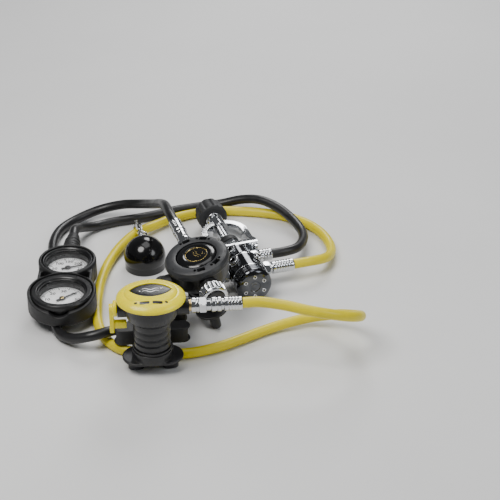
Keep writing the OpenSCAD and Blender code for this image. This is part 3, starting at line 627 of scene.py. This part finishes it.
def slot_painted_shade_sheets(name, boxes, M, key, body, deep=0.4, nx=12, ny=6):
    """Black sheets just under the cover's skin, as painted shade inside its slots, so that they read as openings."""
    verts, faces = [], []
    for cx, cy, sx, sy in boxes:
        b = len(verts)
        for k in range(ny + 1):
            for i in range(nx + 1):
                x, y = cx + sx * (i / nx - 0.5), cy + sy * (k / ny - 0.5)
                verts.append((x, y, cover_height(x, y) - deep))
        for k in range(ny):
            for i in range(nx):
                q = b + k * (nx + 1) + i
                faces.append([q, q + 1, q + nx + 2, q + nx + 1])
        rim = ([b + i for i in range(nx + 1)] + [b + k * (nx + 1) + nx for k in range(1, ny + 1)]
               + [b + ny * (nx + 1) + i for i in reversed(range(nx))] + [b + k * (nx + 1) for k in reversed(range(1, ny))])
        m = len(verts)
        verts += [(verts[r][0], verts[r][1], 17.2) for r in rim]
        for i in range(len(rim)):
            j = (i + 1) % len(rim)
            faces.append([rim[i], m + i, m + j, rim[j]])
        faces.append([m + i for i in range(len(rim))])
    me = bpy.data.meshes.new(name)
    me.from_pydata([M @ (Vector(v) * MM) for v in verts], [], faces)
    me.update()
    bm = bmesh.new()
    bm.from_mesh(me)
    bmesh.ops.recalc_face_normals(bm, faces=bm.faces)
    bm.to_mesh(me)
    bm.free()
    o = link(bpy.data.objects.new(name, me))
    dress(o, key)
    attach(o, body)
    return o

# black sheets under the cover's slots: painted shade for the dark space behind them
slot_painted_shade_sheets("octopus_slot_painted_shade", ((-7, 21.5, 11.4, 3.6), (7, 21.5, 11.4, 3.6), (-16.6, 20.3, 3.6, 3.0), (16.6, 20.3, 3.6, 3.0)),
            OCTO, "black_plastic", "root")

def almond_pad(name, M, key, body, node, a=23.0, b=12.5):
    n = 120
    base = almond_outline(a, b, n)
    rings = []
    for f, z in ((1.0, 18.9), (1.0, 20.9), (0.985, 21.5), (0.955, 21.85), (0.9, 22.05), (0.7, 22.3), (0.45, 22.45), (0.2, 22.5)):
        rings.append([(x * f, y * f, z) for x, y in base])
    verts = [p for r in rings for p in r] + [(0, 0, 22.52), (0, 0, 18.9)]
    faces = []
    for k in range(len(rings) - 1):
        for i in range(n):
            j = (i + 1) % n
            faces.append([k * n + i, k * n + j, (k + 1) * n + j, (k + 1) * n + i])
    t = (len(rings) - 1) * n
    for i in range(n):
        j = (i + 1) % n
        faces.append([t + i, t + j, len(verts) - 2])
        faces.append([j, i, len(verts) - 1])
    return build(name, verts, faces, M, key, body, node, sharp=50)

almond_pad("octopus_pad_dark", OCTO, "black_plastic", "octopus_purge", "octopus_purge_pad")
flat_marks("octopus_pad_mark", [[(x, y) for x, y in s] for s in waves(1.5, (0.9, -1.9))] + dots(1.5, ((7.6, 1.4, 0.6), (8.9, 2.3, 0.4), (-7.8, -1.6, 0.5))),
           OCTO @ R(180, "Z"), "dial", "octopus_purge", 22.36, 0.16)

# ------------------------------------------------------------------ primary: knob, cover ring marks
def lobed(count, depth, h0, h1, sharpness=2.0):
    def f(r, h, a):
        if not h0 <= h <= h1:
            return r
        e = min(1.0, (h - h0) / 1.2, (h1 - h) / 1.2)
        return r - depth * e * abs(math.cos(a * count / 2)) ** sharpness
    return f

lathe("primary_knob_grip", [(0, 44.8), (12.6, 44.8), (14.6, 46.2), (15.4, 48.0), (15.5, 49.4), (15.5, 51), (15.5, 53), (15.5, 55), (15.5, 57.0), (15.1, 58.6), (14.3, 60.0), (12.6, 60.9), (11.2, 61.1), (11.2, 60.3), (0, 60.3)],
      PRIM, "chrome", "primary_adjust", "primary_adjust_knob", axis="x", n=216, wave=lobed(18, 1.9, 47.2, 59.0, 3.0), ease=0.35, sharp=40)
lathe("primary_knob_cap", [(0, 62.9), (3.0, 62.9), (3.6, 62.3), (7.2, 62.2), (7.8, 62.7), (9.9, 62.5), (11.0, 61.8), (11.1, 60.3), (0, 60.3)], PRIM, "gloss_black", "primary_adjust", axis="x", n=96, ease=0.3)
flat_marks("primary_knob_arrow", [[(-1.0, -8.8), (1.0, -8.8), (0.6, -4.6), (-0.6, -4.6)], [(-2.0, -5.2), (2.0, -5.2), (0, -2.9)]], PRIM @ X2Z, "dial", "primary_adjust", 62.6, 0.2)
for i, a in enumerate((250, 290, 110, 70)):
    flat_marks("primary_ring_tick_%d" % i, [bar(32.2 * math.cos(math.radians(a)), 32.2 * math.sin(math.radians(a)), math.radians(a), 3.6, 0.5)], PRIM, "needle", "root", 20.75, 0.2)
lathe("primary_button_crown", [(13.45, 21.3), (14.6, 21.65), (16.4, 21.9), (18.6, 21.6), (20.6, 20.95), (22.3, 19.9), (23.3, 18.6), (23.3, 17.2), (13.45, 17.2)],
      PRIM, "gloss_black", "primary_purge", "primary_purge_button", ease=0.5, n=128)

# ------------------------------------------------------------------ first stage: wheel, thread, cap, fittings
def wheel_wave(r, h, a):
    if r < 12 or h < 92.2 or h > 116.4:
        return r
    e = min(1.0, (h - 92.2) / 2.0, (116.4 - h) / 1.6)
    t = abs(math.cos(a * 6)) ** 6
    return r - 1.7 * e * t

lathe("wheel_rubber", [(0, 90), (14.6, 90), (15.0, 90.2), (17.6, 91.3), (18.8, 93.2), (19.0, 95), (18.9, 99), (18.7, 103), (18.5, 107), (18.2, 111), (17.8, 113.4), (16.4, 115.9), (14.2, 117.4), (11.5, 117.9), (10.8, 117.4), (10.4, 116.6), (0, 116.4)],
      FIRST, "grey_rubber", "yoke_screw", "yoke_knob", axis="x", n=216, wave=wheel_wave, ease=0.8, sharp=50)
lathe("wheel_insert", [(0, 117.2), (5.2, 117.2), (5.9, 116.9), (9.3, 116.9), (9.9, 116.4), (0, 116.2)], FIRST, "black_plastic", "yoke_screw", axis="x", n=72, ease=0.25)
lathe("wheel_collar", [(6.0, 89.95), (9.5, 89.95), (10.4, 89.2), (10.4, 87.2), (9.6, 86.4), (6.0, 86.4)], FIRST, "chrome", "yoke_screw", axis="x", n=96, ease=0.3)

def threaded(name, r, x0, x1, pitch, depth, M, key, body, node=None, n=56):
    """A real helical thread between two plain ends."""
    per = 6
    m = int((x1 - x0) / pitch * per)
    verts, faces = [], []
    for k in range(m + 1):
        h = x0 + (x1 - x0) * k / m
        for i in range(n):
            a = 2 * math.pi * i / n
            ph = ((h / pitch) - a / (2 * math.pi)) % 1.0
            d = abs(ph - 0.5) * 2
            e = min(1.0, (h - x0) / pitch, (x1 - h) / pitch)
            q = r - depth * max(0.0, 1 - d * 1.25) * e
            verts.append((q * math.cos(a), q * math.sin(a), h))
    for k in range(m):
        for i in range(n):
            j = (i + 1) % n
            faces.append([k * n + i, k * n + j, (k + 1) * n + j, (k + 1) * n + i])
    b = len(verts)
    verts += [(0, 0, x0), (0, 0, x1)]
    for i in range(n):
        j = (i + 1) % n
        faces.append([j, i, b])
        faces.append([m * n + i, m * n + j, b + 1])
    return build(name, verts, faces, M @ X2Z, key, body, node, sharp=38)

threaded("yoke_screw_thread", 6.0, 37.8, 89.9, 1.25, 0.65, FIRST, "chrome", "yoke_screw", "yoke_screw")
lathe("pad_cup", [(0, 33.4), (6.9, 33.4), (7.5, 34.0), (7.5, 36.2), (7.1, 36.9), (5.0, 37.4), (0, 37.4)], FIRST, "steel", "screw_pad", "screw_pad", axis="x", ease=0.3)

lathe("cap_turned", [(0, -77.0), (6.4, -77.0), (7.0, -77.6), (9.4, -77.9), (15.9, -78.0), (18.2, -77.3), (20.5, -75.9), (21.6, -74.2), (22.0, -72.6),
                     (22.0, -70.9), (21.5, -70.6), (21.5, -69.8), (22.0, -69.5), (22.0, -68.3), (21.5, -68.0), (21.5, -67.2), (22.0, -66.9),
                     (22.0, -65.7), (21.5, -65.4), (21.5, -64.6), (22.0, -64.3), (22.0, -62.1), (17.1, -62.1)],
      FIRST, "chrome_dark", "root", "end_cap", axis="x", n=160, ease=0.25, sharp=28)
for i in range(6):
    m = FIRST @ R(60 * i, "X") @ T(0, 0, 13)
    lathe("cap_pin_hole_%d" % i, [(1.1, -77.95), (1.6, -78.15), (2.3, -78.1), (2.5, -77.8)], m, "chrome", "root", axis="x", n=32, ease=0.1)
    # gloss-black disc at the foot of each pin hole: painted shade for the hole's depth
    lathe("cap_pin_painted_shade_%d" % i, [(0, -78.0), (1.5, -78.02), (1.6, -77.6)], m, "gloss_black", "root", axis="x", n=24, ease=0.05)
lathe("cap_crest", [(0, -77.25), (3.0, -77.25), (3.4, -77.05), (5.9, -77.02)], FIRST, "chrome_dark", "root", axis="x", n=64, ease=0.1)

# turned grooves on the body: fine chrome hoops proud of the barrel
for i, x in enumerate((-60.2, -33.4)):
    lathe("barrel_hoop_%d" % i, [(21.9, x - 1.0), (22.12, x - 0.8), (22.12, x + 0.8), (21.9, x + 1.0)], FIRST, "chrome", "root", axis="x", n=144, ease=0.15)
lathe("neck_hoop", [(15.9, -4.6), (16.15, -4.4), (16.15, -2.8), (15.9, -2.6)], FIRST, "chrome", "root", axis="x", n=128, ease=0.1)

# inlet nut: turned shoulder, chamfered hexagon, boss with its O-ring
lathe("inlet_shoulder", [(0, 0.02), (10.5, 0.02), (10.85, 0.4), (10.85, 8.1), (0, 8.1)], FIRST, "chrome", "root", "yoke_retainer", axis="x", ease=0.2)
hex_nut("inlet_hex", 15.5, 8.12, 14.0, FIRST, "chrome", "root")
lathe("inlet_boss_face", [(8.1, 13.9), (8.19, 14.2), (8.19, 17.6), (7.9, 18.0), (6.9, 18.0), (6.9, 17.4), (5.7, 17.4), (5.7, 18.0), (5.0, 18.0), (5.0, 11.0)], FIRST, "chrome", "root", axis="x", ease=0.1)
lathe("inlet_o_ring", [(6.3 + 0.55 * math.cos(2 * math.pi * i / 12), 17.55 + 0.55 * math.sin(2 * math.pi * i / 12)) for i in range(13)], FIRST, "silicone", "root", axis="x", ease=0)

# dust cap with a dished top, grip bead and a pull ring of its own rubber
lathe("cap_rubber", [(0, 18.35), (12.3, 18.35), (12.9, 18.9), (13.0, 20.2), (12.7, 21.2), (12.7, 24.0), (13.0, 25.0), (12.9, 26.4), (12.1, 28.4), (10.9, 30.1), (9.2, 31.4), (7.6, 32.1), (5.4, 32.6), (3.2, 32.9), (2.95, 32.6), (2.9, 30.2), (0, 30.2)],
      FIRST, "black_rubber", "dust_cap", "dust_cap", axis="x", n=128, ease=0.5)

# port plugs: knurled rims and hexagon sockets, the sockets in dark chrome as painted shade
def knurl(count, depth, h0, h1):
    def f(r, h, a):
        return r - (depth * (0.5 + 0.5 * math.cos(a * count)) if h0 < h < h1 and r > 4.5 else 0)
    return f

for i, (a, x, r0) in enumerate(((40, -43, 22.1), (-40, -43, 22.1), (-35, -12, 16.1))):
    m = FIRST @ R(a, "X") @ T(x, 0, r0)
    o = lathe("plug_head_%d" % i, [(0, -3.0), (5.1, -3.0), (5.1, 0.0), (6.3, 0.0), (6.8, 0.5), (6.8, 1.2), (6.8, 2.4), (6.8, 3.3), (6.2, 4.1), (3.6, 4.2), (3.3, 4.0)],
              m, "chrome", "root", "port_plugs" if i == 0 else None, n=144, wave=knurl(36, 0.28, 0.9, 3.0), ease=0.2, sharp=40)
    # dark chrome inside the hex socket: painted shade in the recess
    lathe("plug_socket_painted_shade_%d" % i, [(3.3, 4.0), (3.15, 3.6), (3.15, 1.5), (0, 1.5)], m, "chrome_dark", "root", n=72, wave=hexed(3.3), ease=0, sharp=22)

# hose ends at the first stage
for tag, a, x, r0, r1 in (("primary", -90, -43, 22.0, 56.9), ("octopus", 90, -43, 22.0, 59.5), ("console", 90, -12, 16.0, 42.0)):
    m = FIRST @ R(a, "X") @ T(x, 0, 0)
    hex_nut(tag + "_end_hex", 8.6, r0 + 0.1, r0 + 7.1, m, "chrome", "root", tag + "_hose_fitting", axis="z")
    lathe(tag + "_end_neck", [(0, r0 + 7.0), (6.2, r0 + 7.0), (5.7, r0 + 7.8), (5.7, r0 + 9.2), (6.2, r0 + 10.0), (0, r0 + 10.0)], m, "chrome", "root", ease=0.15)
    lathe(tag + "_end_shank", [(0, r0 - 4.3), (5.1, r0 - 4.3), (5.1, r0 + 0.2), (0, r0 + 0.2)], m, "steel", "root", ease=0.1)
    lathe(tag + "_end_ferrule", [(0, r0 + 9.95), (6.9, r0 + 9.95), (7.6, r0 + 10.8)] + crimped(r0 + 12.4, r1 - 3.4, 7.6, 0.45) + [(7.6, r1 - 0.9), (7.2, r1 - 0.15), (6.1, r1)], m, "chrome", "root", ease=0.3, sharp=30)

# hose ends at the two second stages
hex_nut("primary_nut_hex", 10.0, -55.0, -43.5, PRIM, "chrome", "root", "primary_hose_nut")
lathe("primary_nut_neck", [(0, -60.0), (7.2, -60.0), (8.4, -59.2), (8.4, -55.8), (8.0, -54.9), (0, -54.9)], PRIM, "chrome", "root", axis="x", ease=0.3)
lathe("primary_ferrule", [(6.1, -99.9), (7.1, -99.8), (7.7, -98.8)] + crimped(-97.4, -82.6, 7.7, 0.5) + [(7.7, -82), (8.1, -81), (8.1, -77), (7.4, -76), (7.4, -72), (6.9, -71.6), (6.9, -70.4), (7.4, -70), (7.4, -64), (6.4, -60.1), (0, -60.1)],
      PRIM, "chrome", "root", axis="x", ease=0.25, sharp=30)
lathe("octopus_swivel_body", [(0, -51.95), (8.0, -51.95), (8.6, -51.2), (8.6, -49.6), (8.05, -49.2), (8.05, -48.2), (8.6, -47.8), (8.6, -43.6), (6.7, -43.5)], OCTO, "chrome", "root", "octopus_hose_swivel", axis="x", ease=0.2, sharp=28)
hex_nut("octopus_swivel_hex", 9.6, -60.0, -51.98, OCTO, "chrome", "root")
lathe("octopus_swivel_end", [(6.1, -99.6), (7.1, -99.4), (7.7, -98.4)] + crimped(-97.2, -81.2, 7.7, 0.5) + [(7.7, -80), (6.6, -79), (6.6, -77), (8.2, -76), (8.2, -72.6), (7.7, -72.1), (7.7, -70.3), (8.2, -69.8), (8.2, -66), (6.8, -65), (6.8, -60.1), (0, -60.1)],
      OCTO, "chrome", "root", axis="x", ease=0.25, sharp=30)

# ------------------------------------------------------------------ floor and light
def stage_things():
    me = bpy.data.meshes.new("floor")
    s = 3.0
    n = 24
    verts, faces = [], []
    for j in range(n + 1):
        for i in range(n + 1):
            verts.append((TARGET.x + s * (i / n - 0.5) * 2, TARGET.y + s * (j / n - 0.5) * 2, -0.0002))
    for j in range(n):
        for i in range(n):
            a = j * (n + 1) + i
            faces.append((a, a + 1, a + n + 2, a + n + 1))
    me.from_pydata(verts, [], faces)
    fl = link(bpy.data.objects.new("floor", me))
    fl.data.materials.append(make("floor_paper", (0.74, 0.74, 0.74), (0.78, 0.78, 0.78), (0.75, 0.85), 0.0, 3, 0.05, 200, 0.0002))
    lights = [
        ("key", (-0.55, -0.55, 1.25), 0.75, 15.0, (1.0, 0.985, 0.96)),
        ("fill", (1.05, -0.75, 0.95), 0.8, 6.5, (0.95, 0.975, 1.0)),
        ("back", (0.15, 1.15, 1.0), 0.7, 12.0, (1.0, 1.0, 1.0)),
        ("top", (0.1, 0.1, 1.7), 1.0, 7.0, (1.0, 1.0, 1.0)),
    ]
    for name, at, size, power, tint in lights:
        li = bpy.data.lights.new("light_" + name, "AREA")
        li.shape = "DISK" if name != "top" else "SQUARE"
        li.size = size
        li.energy = power
        li.color = tint
        lo = link(bpy.data.objects.new("light_" + name, li))
        lo.location = Vector(at) + TARGET
        lo.rotation_mode = "QUATERNION"
        lo.rotation_quaternion = (TARGET - lo.location).to_track_quat("-Z", "Y")
    w = bpy.data.worlds.new("studio")
    w.use_nodes = True
    w.node_tree.nodes["Background"].inputs["Color"].default_value = (0.78, 0.80, 0.83, 1)
    w.node_tree.nodes["Background"].inputs["Strength"].default_value = 0.14
    bpy.context.scene.world = w

stage_things()
